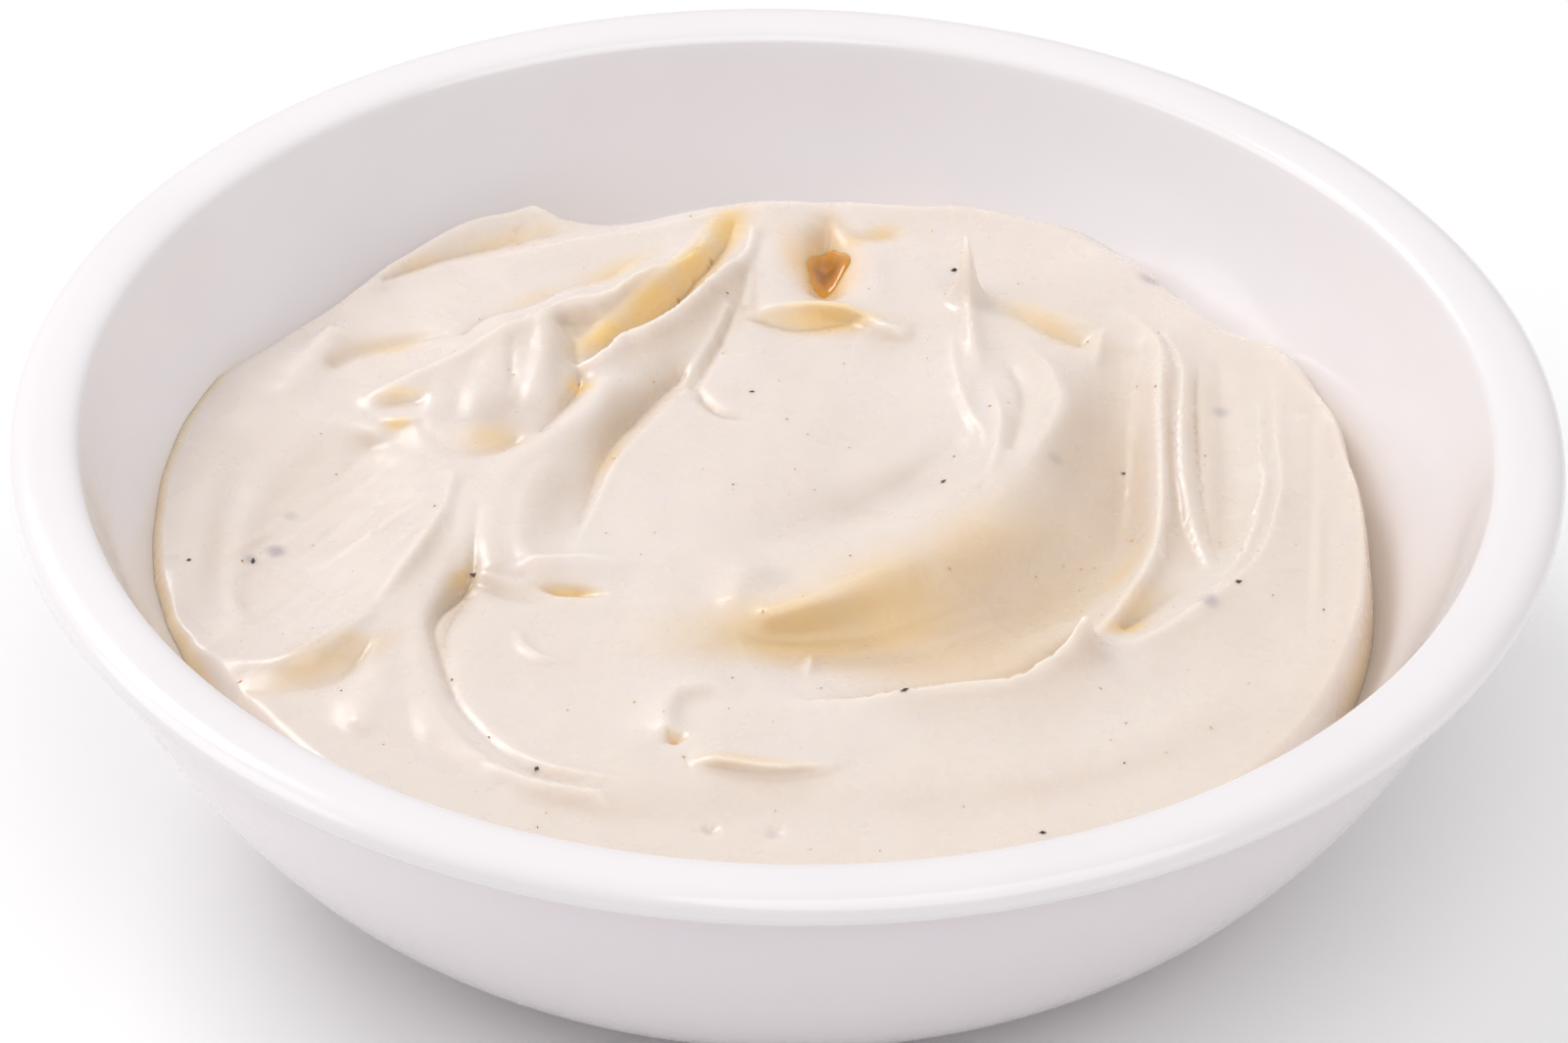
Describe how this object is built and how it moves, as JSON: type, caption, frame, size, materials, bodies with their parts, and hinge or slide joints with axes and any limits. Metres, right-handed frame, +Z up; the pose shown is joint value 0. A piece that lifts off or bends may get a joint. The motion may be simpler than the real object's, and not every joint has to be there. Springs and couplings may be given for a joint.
{
  "type": "bowl of mayonnaise",
  "caption": "Round white ceramic bowl with a rolled rim, filled with spooned and swirled mayonnaise that has soft ridges, a drawn-up peak and a spoon hollow.",
  "frame": {"origin": "centre of the foot ring's base, on the surface that the bowl stands on", "axes": "+Z up along the bowl's axis, -Y on the near side, where the picture was taken from, +X to the right as the picture shows it"},
  "size_m": [0.13, 0.13, 0.037],
  "materials": {
    "glaze": "glossy",
    "mayonnaise": "satin"
  },
  "bodies": {
    "root": {"bowl": "glaze", "mayonnaise": "mayonnaise"}
  },
  "joints": []
}
